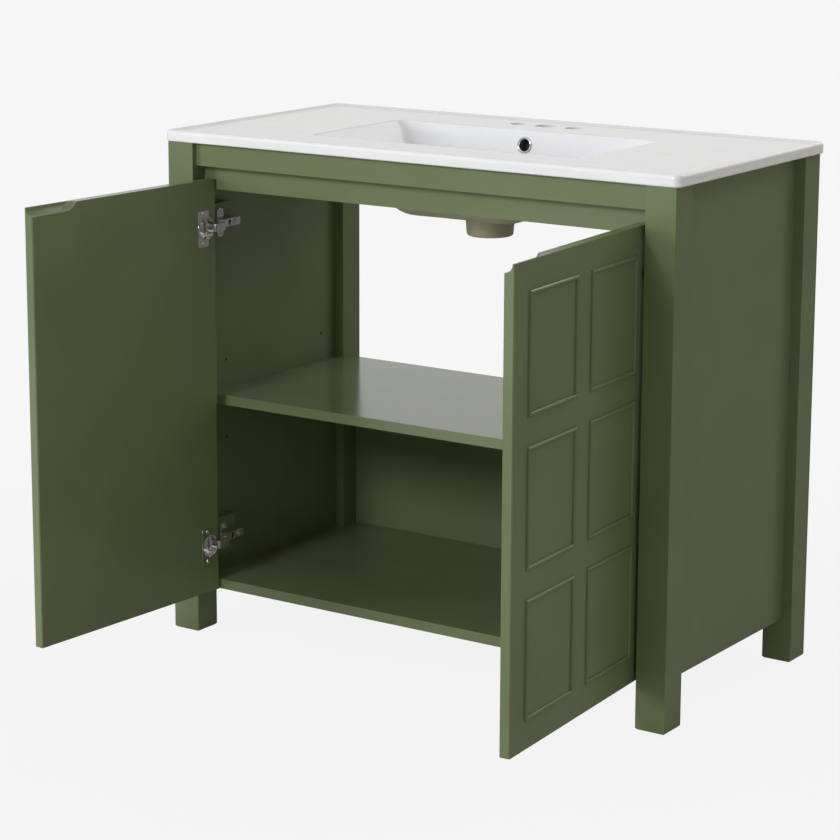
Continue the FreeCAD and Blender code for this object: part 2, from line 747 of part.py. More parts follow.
def hinge_cups():
    """Stamped cups with their screws and pivot pins, and the blanks that they fill in the door."""
    cups, screws, pins, blanks = [], [], [], []
    for z in HINGE_LEVELS:
        blank = rod("cup_blank", "y", ("cup_place", "door_back - cup_depth", z), "cup_diameter", "cup_depth")
        rim = rod("cup_rim", "y", ("cup_place", "door_back", z), "cup_rim_diameter", "flange_thickness")
        flange = board("cup_flange",
                       ("cup_screw_place - flange_width / 2", "cup_screw_place + flange_width / 2"),
                       ("door_back", "flange_face"), (f"{z} - flange_height / 2", f"{z} + flange_height / 2"))
        hollow = rod("cup_hollow", "y", ("cup_place", "door_back - cup_depth + cup_wall", z),
                     "cup_diameter - 2 * cup_wall", "cup_depth + flange_thickness")
        ear = "(hinge_pin_length - arm_width) / 2 - pin_ear_gap"
        ears = [rod("pin_ear", "z", ("0", "0", f"{z} + {side}"), "pin_ear_diameter", ear)
                for side in ("arm_width / 2 + pin_ear_gap", "-hinge_pin_length / 2")]
        pin = rod("hinge_pin", "z", ("0", "0", f"{z} - hinge_pin_length / 2"), "hinge_pin_diameter",
                  "hinge_pin_length")
        pair = []
        for side in (-1, 1):
            seat = ("cup_screw_place", "flange_face", f"{z} + {side} * cup_screw_spacing / 2")
            pair.append(screw("cup_screw", "y", seat, -1))
        hollow = cut("cup_hollow_past_ears", hollow, *ears)
        cups.append(cut("hinge_cup", fuse("cup_stamping", [blank, rim, flange]), hollow, pin, *pair))
        screws += pair
        pins.append(pin)
        blanks.append(blank)
    return (group("right_hinge_cups", cups), group("right_cup_screws", screws),
            group("right_hinge_pins", pins), group("let_into_door", blanks + screws))


# Hinge arms and what carries them on the carcass

def hinge_arm(z, screws):
    """A cranked channel from the mounting plate, round the door's edge, to an eye on the cup's pin."""
    body = new_body("hinge_arm")
    half = "arm_thickness / 2"
    tail = "front + arm_tail_from_front"
    strip = new_sketch(body, "XY_Plane", z)
    polygon(strip, [("pivot_place", f"pivot_row - {half}"),
                    (f"neck_line - {half}", f"pivot_row - {half}"),
                    (f"neck_line - {half}", f"bend_row + {half}"),
                    (f"arm_line - {half}", f"bend_row + {half}"),
                    (f"arm_line - {half}", tail), (f"arm_line + {half}", tail),
                    (f"arm_line + {half}", f"bend_row - {half}"),
                    (f"neck_line + {half}", f"bend_row - {half}"),
                    (f"neck_line + {half}", f"pivot_row + {half}"),
                    ("pivot_place", f"pivot_row + {half}")])
    bent = pad(body, strip, "arm_width", midplane=True)
    wide = value("arm_width")
    nose, end = value("pivot_place"), value(tail)
    ease(body, "Fillet", bent, "arm_bend_radius",
         lambda box: at(box.ZLength, wide) and not at(box.XMax, nose) and not at(box.YMax, end))
    neck = f"neck_line - {half}"
    fold = "arm_face + tail_cheek_depth"
    for lift in ("arm_width / 2 - cheek_thickness", "-arm_width / 2"):
        cheek = new_sketch(body, "XY_Plane", f"{z} + {lift}")
        polygon(cheek, [(neck, "pivot_row + cheek_start"), (neck, f"bend_row + {half}"),
                        ("arm_face", f"bend_row + {half}"), ("arm_face", tail), (fold, tail),
                        (fold, "bend_row"), (f"{neck} + neck_cheek_depth", "pivot_row + cheek_start")])
        pad(body, cheek, "cheek_thickness")
    eye = new_sketch(body, "XY_Plane", z)
    circle(eye, "pivot_place", "pivot_row", "eye_diameter")
    pad(body, eye, "arm_width", midplane=True)
    bore(body, ("pivot_place", "pivot_row", f"{z} - arm_width"),
         "hinge_pin_diameter + 2 * hinge_pin_clearance", "2 * arm_width")
    return cut("cranked_arm", body, *screws)


def hinge_carriers():
    """Arms, mounting plates, screws and spacer blocks of the right-hand hinges."""
    arms, plates, plate_screws, arm_screws, blocks = [], [], [], [], []
    for z in HINGE_LEVELS:
        fixing, clamping = [], []
        for side in (-1, 1):
            seat = ("plate_face", "plate_row", f"{z} + {side} * plate_screw_spacing / 2")
            fixing.append(screw("plate_screw", "x", seat, 1))
        for row in ("front + arm_screw_front", "front + arm_screw_rear"):
            head = rod("arm_screw_head", "x", ("arm_face - screw_head_height", row, z),
                       "screw_head_diameter", "screw_head_height")
            shank = rod("arm_screw_shank", "x", ("arm_face", row, z), "screw_diameter", "arm_screw_depth")
            clamping.append(fuse("arm_screw", [head, shank]))
        wings = board("plate_wings", ("plate_face", "leg_inner"),
                      ("plate_row - plate_width / 2", "plate_row + plate_width / 2"),
                      (f"{z} - plate_height / 2", f"{z} + plate_height / 2"))
        saddle = board("plate_saddle", ("leg_inner - saddle_height", "leg_inner"),
                       ("front + saddle_from_front", "front + saddle_from_front + saddle_length"),
                       (f"{z} - saddle_width / 2", f"{z} + saddle_width / 2"))
        plates.append(cut("mounting_plate", fuse("plate_blank", [wings, saddle]), *fixing, *clamping))
        spacer = board("spacer", ("leg_inner", "side_inner"),
                       ("front_leg_back", "front_leg_back + hinge_block_depth"),
                       (f"{z} - hinge_block_height / 2", f"{z} + hinge_block_height / 2"))
        blocks.append(cut("hinge_block", spacer, *fixing))
        arms.append(hinge_arm(z, clamping))
        plate_screws += fixing
        arm_screws += clamping
    return [group("right_hinge_arms", arms), group("right_mounting_plates", plates),
            group("right_plate_screws", plate_screws), group("right_arm_screws", arm_screws),
            group("right_hinge_blocks", blocks)]


def build_carcass():
    """Every fixed piece of woodwork, its joinery and the shelf."""
    dowels, low_dowels, pins = rail_dowels(), bottom_dowels(), shelf_pins()
    side = board("right_side_blank", ("side_inner", "side_outer"),
                 ("front_leg_back - tongue", "rear_leg_front + tongue"), ("underside", "leg_top"))
    back = board("back_panel", ("-leg_inner - back_tongue", "leg_inner + back_tongue"),
                 ("back_face", "back_face + back_thickness"), ("underside", "underside + back_height"))
    right_side = cut("right_side_panel", side, pins, spare_pin_holes(), low_dowels)
    front_leg = cut("front_right_leg", leg("front_post", ("front", "front_leg_back")), side, dowels)
    rear_leg = cut("rear_right_leg", leg("rear_post", ("rear_leg_front", "rear")), side, back, dowels)
    upper = board("upper_rail_blank", ("-leg_inner", "leg_inner"),
                  ("upper_rail_face", "lower_rail_face"), ("upper_rail_under", "leg_top"))
    lower = board("lower_rail_blank", ("-leg_inner", "leg_inner"),
                  ("lower_rail_face", "lower_rail_back"), ("lower_rail_under", "leg_top"))
    rear_rail = board("rear_rail_blank", ("-leg_inner", "leg_inner"),
                      ("rear_rail_face", "rear_rail_back"), ("leg_top - rear_rail_height", "leg_top"))
    bottom = notched_board("bottom_blank", [
        ("leg_inner", "bottom_face"), ("leg_inner", "front_leg_back"), ("side_inner", "front_leg_back"),
        ("side_inner", "rear_leg_front"), ("leg_inner", "rear_leg_front"), ("leg_inner", "back_face")],
        "underside", "bottom_thickness")
    shelf = notched_board("shelf", [
        ("side_inner - shelf_gap", "front_leg_back + shelf_gap"),
        ("side_inner - shelf_gap", "rear_leg_front - shelf_gap"),
        ("leg_inner - shelf_gap", "rear_leg_front - shelf_gap"),
        ("leg_inner - shelf_gap", "shelf_rear")], "shelf_under", "shelf_thickness")
    return [front_leg, mirrored("front_left_leg", front_leg), rear_leg, mirrored("rear_left_leg", rear_leg),
            leg_glides(), right_side, mirrored("left_side_panel", right_side),
            cut("upper_front_rail", upper, dowels), cut("lower_front_rail", lower, dowels),
            cut("rear_top_rail", rear_rail, dowels), dowels, cut("bottom_panel", bottom, low_dowels),
            low_dowels, back, shelf, pins]


def build_doors():
    """The right door hung at its rest angle, and its mirror image on the left."""
    cups, screws, pins, let_in = hinge_cups()
    right = [hung(piece) for piece in (door_panel(let_in), door_beads(), cups, screws, pins)]
    return right + [mirrored(piece.Name.replace("right", "left"), piece) for piece in right]


def build_hinge_carriers():
    right = hinge_carriers()
    return right + [mirrored(piece.Name.replace("right", "left"), piece) for piece in right]


nodes = build_carcass() + [ceramic_top(), overflow_ring()] + build_doors() + build_hinge_carriers()
doc.recompute()

failed = [item.Name for item in doc.Objects if "Invalid" in item.State or "Error" in item.State]
if failed:
    raise RuntimeError(f"objects that did not build: {failed}")
for node in nodes:
    if node.Shape.isNull() or not node.Shape.isValid() or not node.Shape.Solids:
        raise RuntimeError(f"no sound solid in {node.Label}")

os.makedirs("parts", exist_ok=True)
for node in nodes:
    node.Shape.exportStep(f"parts/{node.Label}.step")
    print(f"{node.Label}: {len(node.Shape.Solids)} solids, {node.Shape.Volume / 1000:.1f} cm3")
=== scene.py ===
import json
import math

import bmesh
import bpy
from mathutils import Matrix, Vector


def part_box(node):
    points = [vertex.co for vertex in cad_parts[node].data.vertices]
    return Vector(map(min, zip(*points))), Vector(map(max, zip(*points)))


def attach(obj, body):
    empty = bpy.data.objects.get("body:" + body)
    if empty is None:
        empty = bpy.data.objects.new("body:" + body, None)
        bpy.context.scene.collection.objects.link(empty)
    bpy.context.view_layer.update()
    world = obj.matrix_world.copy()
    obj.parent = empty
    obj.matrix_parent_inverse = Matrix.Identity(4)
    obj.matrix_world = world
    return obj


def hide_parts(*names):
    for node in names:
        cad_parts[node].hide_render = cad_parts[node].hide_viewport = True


# Green vanity unit with its doors open: finishes, fine pieces, light and camera.
# Metres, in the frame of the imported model. +X right, +Y to the wall, +Z up.

MM = 0.001

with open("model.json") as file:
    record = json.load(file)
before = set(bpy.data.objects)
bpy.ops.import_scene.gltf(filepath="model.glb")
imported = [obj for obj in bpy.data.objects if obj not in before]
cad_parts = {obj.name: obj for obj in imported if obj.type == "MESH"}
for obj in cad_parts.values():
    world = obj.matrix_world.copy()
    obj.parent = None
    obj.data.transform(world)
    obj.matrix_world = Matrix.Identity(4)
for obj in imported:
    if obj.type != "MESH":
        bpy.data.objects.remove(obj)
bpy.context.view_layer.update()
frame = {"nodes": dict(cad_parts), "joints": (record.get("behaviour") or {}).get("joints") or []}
nodes = frame["nodes"]

SIDES = {"left": -1, "right": 1}

# Boards by the way their grain runs, up or across
UPRIGHT_BOARDS = ["front_left_leg", "front_right_leg", "rear_left_leg", "rear_right_leg",
                  "left_side_panel", "right_side_panel", "left_door_panel", "right_door_panel",
                  "left_door_beads", "right_door_beads", "left_hinge_blocks", "right_hinge_blocks"]
LEVEL_BOARDS = ["upper_front_rail", "lower_front_rail", "rear_top_rail", "bottom_panel",
                "back_panel", "shelf"]

HINGE_METAL = ["hinge_cups", "cup_screws", "hinge_pins", "hinge_arms", "mounting_plates",
               "plate_screws", "arm_screws"]
EASED_EDGE = 0.8 * MM


# Materials

# A Mix node's inputs and its colour output by number, because its numbers and colours share their names
FACTOR = 0
FIRST_NUMBER = 2
SECOND_NUMBER = 3
FIRST_COLOUR = 6
SECOND_COLOUR = 7
MIXED_COLOUR = 2

# A noise texture stays mostly between these values
NOISE_LOW = 0.3
NOISE_HIGH = 0.7


def linear(hex_colour):
    """Linear RGBA of an sRGB hex colour."""
    channels = [int(hex_colour[i:i + 2], 16) / 255 for i in (1, 3, 5)]
    return [c / 12.92 if c <= 0.04045 else ((c + 0.055) / 1.055) ** 2.4 for c in channels] + [1.0]


def add(tree, kind, inputs=None, **settings):
    """Add a node with its settings. Each input is a number, a colour or the output that feeds it."""
    node = tree.nodes.new(kind)
    for name, value in settings.items():
        setattr(node, name, value)
    for socket, value in (inputs or {}).items():
        if isinstance(value, bpy.types.NodeSocket):
            tree.links.new(value, node.inputs[socket])
        else:
            node.inputs[socket].default_value = value
    return node


def new_material(name):
    """An empty material and its node tree."""
    material = bpy.data.materials.new(name)
    material.use_nodes = True
    material.node_tree.nodes.clear()
    return material, material.node_tree


def per_metre(size_mm):
    """Texture scale that gives features of this size."""
    return 1 / (size_mm * MM)


def green_lacquer(name, grain_mm, roughness):
    """Satin lacquer sprayed on painted wood and fibreboard.

    It gives the eye a dull olive green with a soft broad sheen, the wood's grain standing faintly
    through the paint, slow drifts of tone from the spray gun and a fine orange peel.
    """
    material, tree = new_material(name)
    place = add(tree, "ShaderNodeTexCoord").outputs["Object"]
    along_grain = add(tree, "ShaderNodeMapping", {"Vector": place,
                                                  "Scale": [per_metre(size) for size in grain_mm]})
    grain = add(tree, "ShaderNodeTexNoise", {"Vector": along_grain.outputs[0], "Scale": 1.0, "Detail": 2.0,
                                             "Roughness": 0.6})
    drift = add(tree, "ShaderNodeTexNoise", {"Vector": place, "Scale": per_metre(140), "Detail": 2.0})
    peel = add(tree, "ShaderNodeTexNoise", {"Vector": place, "Scale": per_metre(1.6), "Detail": 1.0})
    tone = add(tree, "ShaderNodeMix", {FACTOR: grain.outputs[0], FIRST_COLOUR: linear("#647050"),
                                       SECOND_COLOUR: linear("#657151")}, data_type="RGBA")
    shade = add(tree, "ShaderNodeMapRange", {"Value": drift.outputs[0], "From Min": NOISE_LOW,
                                             "From Max": NOISE_HIGH, "To Min": 0.95, "To Max": 1.05})
    colour = add(tree, "ShaderNodeMix", {FACTOR: 1.0, FIRST_COLOUR: tone.outputs[MIXED_COLOUR],
                                         SECOND_COLOUR: shade.outputs[0]},
                 data_type="RGBA", blend_type="MULTIPLY")
    sheen = add(tree, "ShaderNodeMapRange", {"Value": grain.outputs[0], "From Min": NOISE_LOW,
                                             "From Max": NOISE_HIGH, "To Min": roughness,
                                             "To Max": roughness + 0.02})
    grain_bump = add(tree, "ShaderNodeBump", {"Height": grain.outputs[0], "Strength": 0.008,
                                              "Distance": 0.12 * MM})
    bump = add(tree, "ShaderNodeBump", {"Height": peel.outputs[0], "Strength": 0.2, "Distance": 0.03 * MM,
                                        "Normal": grain_bump.outputs[0]})
    surface = add(tree, "ShaderNodeBsdfPrincipled", {"Base Color": colour.outputs[MIXED_COLOUR],
                                                     "Roughness": sheen.outputs[0], "IOR": 1.48,
                                                     "Normal": bump.outputs[0]})
    add(tree, "ShaderNodeOutputMaterial", {"Surface": surface.outputs[0]})
    return material


def glazed_china():
    """Vitreous china, slip cast and glazed white.

    It gives the eye a bright, faintly cool white with sharp reflections that waver slightly.
    """
    material, tree = new_material("glazed_china")
    place = add(tree, "ShaderNodeTexCoord").outputs["Object"]
    waver = add(tree, "ShaderNodeTexNoise", {"Vector": place, "Scale": per_metre(45), "Detail": 1.0})
    tone = add(tree, "ShaderNodeMix", {FACTOR: waver.outputs[0], FIRST_COLOUR: linear("#d8dade"),
                                       SECOND_COLOUR: linear("#dfe1e4")}, data_type="RGBA")
    bump = add(tree, "ShaderNodeBump", {"Height": waver.outputs[0], "Strength": 0.02, "Distance": 0.3 * MM})
    surface = add(tree, "ShaderNodeBsdfPrincipled", {"Base Color": tone.outputs[MIXED_COLOUR],
                                                     "Roughness": 0.12, "IOR": 1.52,
                                                     "Normal": bump.outputs[0]})
    add(tree, "ShaderNodeOutputMaterial", {"Surface": surface.outputs[0]})
    return material


def bare_china():
    """Vitreous china left without glaze under the basin.

    It gives the eye a dull grey beige with fine sandy speckle and cloudy drifts from the casting slip.
    The real grit is finer than the speckle, which is drawn this coarse to show.
    """
    material, tree = new_material("bare_china")
    place = add(tree, "ShaderNodeTexCoord").outputs["Object"]
    speckle = add(tree, "ShaderNodeTexNoise", {"Vector": place, "Scale": per_metre(1.2), "Detail": 3.0})
    cloud = add(tree, "ShaderNodeTexNoise", {"Vector": place, "Scale": per_metre(60), "Detail": 2.0})
    tone = add(tree, "ShaderNodeMix", {FACTOR: cloud.outputs[0], FIRST_COLOUR: linear("#a8a68d"),
                                       SECOND_COLOUR: linear("#bcbaa3")}, data_type="RGBA")
    shade = add(tree, "ShaderNodeMapRange", {"Value": speckle.outputs[0], "From Min": NOISE_LOW,
                                             "From Max": NOISE_HIGH, "To Min": 0.92, "To Max": 1.04})
    colour = add(tree, "ShaderNodeMix", {FACTOR: 1.0, FIRST_COLOUR: tone.outputs[MIXED_COLOUR],
                                         SECOND_COLOUR: shade.outputs[0]},
                 data_type="RGBA", blend_type="MULTIPLY")
    bump = add(tree, "ShaderNodeBump", {"Height": speckle.outputs[0], "Strength": 0.3,
                                        "Distance": 0.1 * MM})
    surface = add(tree, "ShaderNodeBsdfPrincipled", {"Base Color": colour.outputs[MIXED_COLOUR],
                                                     "Roughness": 0.8, "IOR": 1.5,
                                                     "Normal": bump.outputs[0]})
    add(tree, "ShaderNodeOutputMaterial", {"Surface": surface.outputs[0]})
    return material


def overflow_painted_shade():
    """Painted shade in the overflow's hole: a near-black clay colour that stands for the shadow of the deep
    channel behind it.

    It gives the eye a near-black hole with a sandy tooth, drawn coarser than real grit so that it shows.
    """
    material, tree = new_material("overflow_painted_shade")
    place = add(tree, "ShaderNodeTexCoord").outputs["Object"]
    sand = add(tree, "ShaderNodeTexNoise", {"Vector": place, "Scale": per_metre(1.2), "Detail": 2.0})
    tone = add(tree, "ShaderNodeMix", {FACTOR: sand.outputs[0], FIRST_COLOUR: linear("#2c2b29"),
                                       SECOND_COLOUR: linear("#3d3b38")}, data_type="RGBA")
    surface = add(tree, "ShaderNodeBsdfPrincipled", {"Base Color": tone.outputs[MIXED_COLOUR],
                                                     "Roughness": 0.85})
    add(tree, "ShaderNodeOutputMaterial", {"Surface": surface.outputs[0]})
    return material


def nickel_plate():
    """Pressed steel with bright nickel plating.

    It gives the eye a warm grey mirror, blurred here and there by fine rubbing marks. They are drawn
    wider than real ones, so that they show.
    """
    material, tree = new_material("nickel_plate")
    place = add(tree, "ShaderNodeTexCoord").outputs["Object"]
    rubbed = add(tree, "ShaderNodeMapping", {"Vector": place,
                                             "Scale": [per_metre(size) for size in (6, 6, 0.5)]})
    marks = add(tree, "ShaderNodeTexNoise", {"Vector": rubbed.outputs[0], "Scale": 1.0, "Detail": 3.0})
    tone = add(tree, "ShaderNodeMix", {FACTOR: marks.outputs[0], FIRST_COLOUR: linear("#e6e3e0"),
                                       SECOND_COLOUR: linear("#eeebe8")}, data_type="RGBA")
    rough = add(tree, "ShaderNodeMapRange", {"Value": marks.outputs[0], "To Min": 0.16, "To Max": 0.26})
    surface = add(tree, "ShaderNodeBsdfPrincipled", {"Base Color": tone.outputs[MIXED_COLOUR],
                                                     "Metallic": 1.0, "Roughness": rough.outputs[0]})
    add(tree, "ShaderNodeOutputMaterial", {"Surface": surface.outputs[0]})
    return material


def chrome():
    """Polished brass with chrome plating.

    It gives the eye a cool, nearly perfect mirror with faint haze.
    """
    material, tree = new_material("chrome")
    place = add(tree, "ShaderNodeTexCoord").outputs["Object"]
    haze = add(tree, "ShaderNodeTexNoise", {"Vector": place, "Scale": per_metre(5), "Detail": 2.0})
    rough = add(tree, "ShaderNodeMapRange", {"Value": haze.outputs[0], "To Min": 0.04, "To Max": 0.1})
    surface = add(tree, "ShaderNodeBsdfPrincipled", {"Base Color": linear("#c9cbcd"), "Metallic": 1.0,
                                                     "Roughness": rough.outputs[0]})
    add(tree, "ShaderNodeOutputMaterial", {"Surface": surface.outputs[0]})
    return material


def grey_nylon():
    """Moulded nylon of the glides.

    It gives the eye a dull warm grey with the mould's spark texture, drawn coarser than real to show.
    """
    material, tree = new_material("grey_nylon")
    place = add(tree, "ShaderNodeTexCoord").outputs["Object"]
    spark = add(tree, "ShaderNodeTexNoise", {"Vector": place, "Scale": per_metre(0.8), "Detail": 2.0})
    tone = add(tree, "ShaderNodeMix", {FACTOR: spark.outputs[0], FIRST_COLOUR: linear("#625d55"),
                                       SECOND_COLOUR: linear("#746f66")}, data_type="RGBA")
    bump = add(tree, "ShaderNodeBump", {"Height": spark.outputs[0], "Strength": 0.3, "Distance": 0.05 * MM})
    surface = add(tree, "ShaderNodeBsdfPrincipled", {"Base Color": tone.outputs[MIXED_COLOUR],
                                                     "Roughness": 0.55, "IOR": 1.53,
                                                     "Normal": bump.outputs[0]})
    add(tree, "ShaderNodeOutputMaterial", {"Surface": surface.outputs[0]})
    return material


def beech():
    """Turned beech of the dowels.

    It gives the eye a pale, close-grained wood with short darker flecks.
    """
    material, tree = new_material("beech")
    place = add(tree, "ShaderNodeTexCoord").outputs["Object"]
    along = add(tree, "ShaderNodeMapping", {"Vector": place,
                                            "Scale": [per_metre(size) for size in (9, 0.7, 0.7)]})
    flecks = add(tree, "ShaderNodeTexNoise", {"Vector": along.outputs[0], "Scale": 1.0, "Detail": 3.0})
    tone = add(tree, "ShaderNodeMix", {FACTOR: flecks.outputs[0], FIRST_COLOUR: linear("#b58c5f"),
                                       SECOND_COLOUR: linear("#d9b68a")}, data_type="RGBA")
    surface = add(tree, "ShaderNodeBsdfPrincipled", {"Base Color": tone.outputs[MIXED_COLOUR],
                                                     "Roughness": 0.6})
    add(tree, "ShaderNodeOutputMaterial", {"Surface": surface.outputs[0]})
    return material


# Finishes of the carried-over nodes

# Below its slab, the basin is bare on the faces whose normals rise less than this
BARE_RISE = 0.03
BARE_SLOT = 1

# Past this depth the hole of the overflow gets painted shade, a near-black colour for the shadow of the deep
# channel
PAINTED_SHADE_DEPTH = 5 * MM
PAINTED_SHADE_SLOT = 2


def dress(node, material):
    """Give a carried-over node its finish."""
    nodes[node].data.materials.clear()
    nodes[node].data.materials.append(material)


def ease_edges(node, width):
    """Soften a board's sharp edges by a small round, as sanding and paint do."""
    weld = nodes[node].modifiers.new("weld", "WELD")
    weld.merge_threshold = 0.001 * MM
    bevel = nodes[node].modifiers.new("eased_edges", "BEVEL")
    bevel.width = width
    bevel.segments = 3
    bevel.limit_method = "ANGLE"
    bevel.angle_limit = math.radians(50)
    bevel.harden_normals = True


def leave_bare_and_paint_shade():
    """No glaze on the basin's outside below the slab, and painted shade in the overflow's hole."""
    mesh = nodes["ceramic_top"].data
    mesh.materials.append(bare_china())
    mesh.materials.append(overflow_painted_shade())
    slab_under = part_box("upper_front_rail")[1].z
    ring_low, ring_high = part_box("overflow_ring")
    for face in mesh.polygons:
        x, y, z = face.center
        in_ring = ring_low.x < x < ring_high.x and ring_low.z < z < ring_high.z
        if z < slab_under - MM and face.normal.z < BARE_RISE:
            face.material_index = BARE_SLOT
        # Painted shade: faces deep in the overflow's hole take the near-black material
        if in_ring and y > ring_low.y + PAINTED_SHADE_DEPTH and z < slab_under:
            face.material_index = PAINTED_SHADE_SLOT


upright_green = green_lacquer("green_lacquer_upright", grain_mm=(1.4, 1.4, 90), roughness=0.19)
level_green = green_lacquer("green_lacquer_level", grain_mm=(90, 1.4, 1.4), roughness=0.16)
nickel = nickel_plate()
bright_chrome = chrome()
wood = beech()
for board in UPRIGHT_BOARDS:
    dress(board, upright_green)
for board in LEVEL_BOARDS:
    dress(board, level_green)
for board in UPRIGHT_BOARDS + LEVEL_BOARDS:
    if "beads" not in board:
        ease_edges(board, EASED_EDGE)
for side in SIDES:
    for part in HINGE_METAL:
        dress(f"{side}_{part}", nickel)
dress("shelf_pins", nickel)
dress("ceramic_top", glazed_china())
leave_bare_and_paint_shade()
dress("overflow_ring", bright_chrome)
dress("leg_glides", grey_nylon())
dress("rail_dowels", wood)
dress("bottom_dowels", wood)


# Outlines and forms in sheet metal

CORNER_STEPS = 6
CIRCLE_STEPS = 40
TURN_STEPS = 48
SMOOTH_ANGLE = math.radians(35)


def arc(centre, radii, start, end, steps):
    """Points along part of an ellipse, from one angle to another."""
    angles = [start + (end - start) * step / steps for step in range(steps + 1)]
    return [(centre[0] + radii[0] * math.cos(angle), centre[1] + radii[1] * math.sin(angle))
            for angle in angles]


def circle(x, y, radius, steps):
    """A whole circle's outline."""
    return arc((x, y), (radius, radius), 0, math.tau, steps)[:-1]


def rounded(corners):
    """An outline with round corners, from corners given as x, y and radius."""
    points = []
    for i, (x, y, radius) in enumerate(corners):
        corner = Vector((x, y))
        back = (Vector(corners[i - 1][:2]) - corner).normalized()
        on = (Vector(corners[(i + 1) % len(corners)][:2]) - corner).normalized()
        half = back.angle(on) / 2
        centre = corner + (back + on).normalized() * radius / math.sin(half)
        first = corner + back * radius / math.tan(half) - centre
        last = corner + on * radius / math.tan(half) - centre
        start = math.atan2(first.y, first.x)
        sweep = (math.atan2(last.y, last.x) - start + math.pi) % math.tau - math.pi
        points += arc(centre, (radius, radius), start, start + sweep, CORNER_STEPS)
    return points


def slab(low, high, radius):
    """A rectangle's outline with round corners."""
    return rounded([(low[0], low[1], radius), (high[0], low[1], radius), (high[0], high[1], radius),
                    (low[0], high[1], radius)])


def barrel(bore, radius, half_length, chamfer):
    """The profile of a short round bar or tube with chamfered ends."""
    return [(bore, -half_length), (radius - chamfer, -half_length), (radius, chamfer - half_length),
            (radius, half_length - chamfer), (radius - chamfer, half_length), (bore, half_length)]


def press(metal, place, outlines, low, high, edge):
    """Add a plate with rolled edges, from an outline and its holes, between two heights."""
    curve = bpy.data.curves.new("pressing", "CURVE")
    curve.dimensions = "2D"
    curve.fill_mode = "BOTH"
    curve.extrude = (high - low) / 2 - edge
    curve.bevel_depth = edge
    curve.bevel_resolution = 2
    curve.offset = -edge
    for outline in outlines:
        spline = curve.splines.new("POLY")
        spline.points.add(len(outline) - 1)
        for point, (x, y) in zip(spline.points, outline):
            point.co = (x, y, 0, 1)
        spline.use_cyclic_u = True
    holder = bpy.data.objects.new("pressing", curve)
    mesh = bpy.data.meshes.new_from_object(holder)
    first = len(metal.verts)
    metal.from_mesh(mesh)
    metal.verts.ensure_lookup_table()
    bmesh.ops.transform(metal, matrix=place @ Matrix.Translation((0, 0, (low + high) / 2)),
                        verts=metal.verts[first:])
    bpy.data.objects.remove(holder)
    bpy.data.curves.remove(curve)
    bpy.data.meshes.remove(mesh)


def turn(metal, profile, place, closed=False):
    """Add a turned form from a profile of radius and height, and give back its rings of points.

    Where the profile meets the axis, the ring is one point and its faces are triangles.
    """
    rings = []
    for radius, level in profile:
        outline = circle(0, 0, radius, TURN_STEPS) if radius else [(0, 0)]
        rings.append([metal.verts.new(place @ Vector((x, y, level))) for x, y in outline])
    pairs = list(zip(rings, rings[1:])) + ([(rings[-1], rings[0])] if closed else [])
    for low, high in pairs:
        for i in range(TURN_STEPS):
            corners = [low[i % len(low)], low[(i + 1) % len(low)], high[(i + 1) % len(high)],
                       high[i % len(high)]]
            metal.faces.new(list(dict.fromkeys(corners)))
    return rings


def metal_piece(name, metal, material, body, node):
    """Make a piece of the metal that rides on a body in place of a plain solid."""
    bmesh.ops.recalc_face_normals(metal, faces=metal.faces)
    mesh = bpy.data.meshes.new(name)
    metal.to_mesh(mesh)
    metal.free()
    mesh.shade_smooth()
    mesh.set_sharp_from_angle(angle=SMOOTH_ANGLE)
    mesh.materials.append(material)
    piece = bpy.data.objects.new(name, mesh)
    bpy.context.scene.collection.objects.link(piece)
    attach(piece, body)
    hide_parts(node)


# Hinges, in millimetres for the right-hand side and mirrored for the left. The frame gives the pivot, the
# angle at which the doors stand open and the places of the leg, the arms and the plates.

def box_mm(node):
    """A node's box in millimetres."""
    low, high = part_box(node)
    return low / MM, high / MM


right_hinge = next(joint for joint in frame["joints"] if joint["name"] == "right_door_hinge")
arm_low, arm_high = box_mm("right_hinge_arms")
plate_low, plate_high = box_mm("right_mounting_plates")

PIVOT_X = right_hinge["pos_m"][0] / MM
PIVOT_Y = right_hinge["pos_m"][1] / MM
OPEN_TURN = math.radians(-right_hinge["range_deg"][0])
LEG_INNER = box_mm("front_right_leg")[0].x

# The arm: a strip that steps round the door's edge, between two cheeks, and a flat tail on the plate
ARM_HALF_WIDTH = 6.3
HINGE_LEVELS = (arm_low.z + ARM_HALF_WIDTH, arm_high.z - ARM_HALF_WIDTH)
ARM_SHEET = 1.6
CUT_EDGE = 0.6
OUTER_BEND = 3.4
INNER_BEND = OUTER_BEND - ARM_SHEET
CRANK_X = arm_low.x
CRANK_Y = PIVOT_Y + 25.8
STRIP_END = 3.8
TAIL_START = 4.0
TAIL_END = arm_high.y
TAIL_UNDER = LEG_INNER - plate_low.x
TAIL_TOP = TAIL_UNDER + ARM_SHEET
TAIL_ROUND = 2.2
TAIL_HOLE_LINE = 46.6
TAIL_HOLE_RADIUS = 4.2
SLOT_START = 30.8
SLOT_END = 36.0
SLOT_HALF_WIDTH = 3.9
SLOT_ROUND = 1.2
CHEEK_SHEET = 1.2
CHEEK_SIDE = ARM_HALF_WIDTH - 0.05
CHEEK_INSET = 0.1
CHEEK_FRONT = PIVOT_Y + 8.0
CHEEK_FOOT = LEG_INNER - 3.7
CHEEK_DEPTH = 6.8
EYE_BORE = 1.25
EYE_RADIUS = 2.2

# The plate: wings that are screwed to the leg and a hollow saddle under the arm's tail
PLATE_SHEET = 2.0
PLATE_SCREW_LINE = 22.6
WING_HALF_WIDTH = 8.0
WING_HALF_SPAN = HINGE_LEVELS[0] - plate_low.z
WING_ROUND = 6.5
SADDLE_HALF_WIDTH = 5.0
SADDLE_HEIGHT = 10.9
SADDLE_ROUND = 1.6
HOLLOW_START = 27.5
HOLLOW_END = 40.0

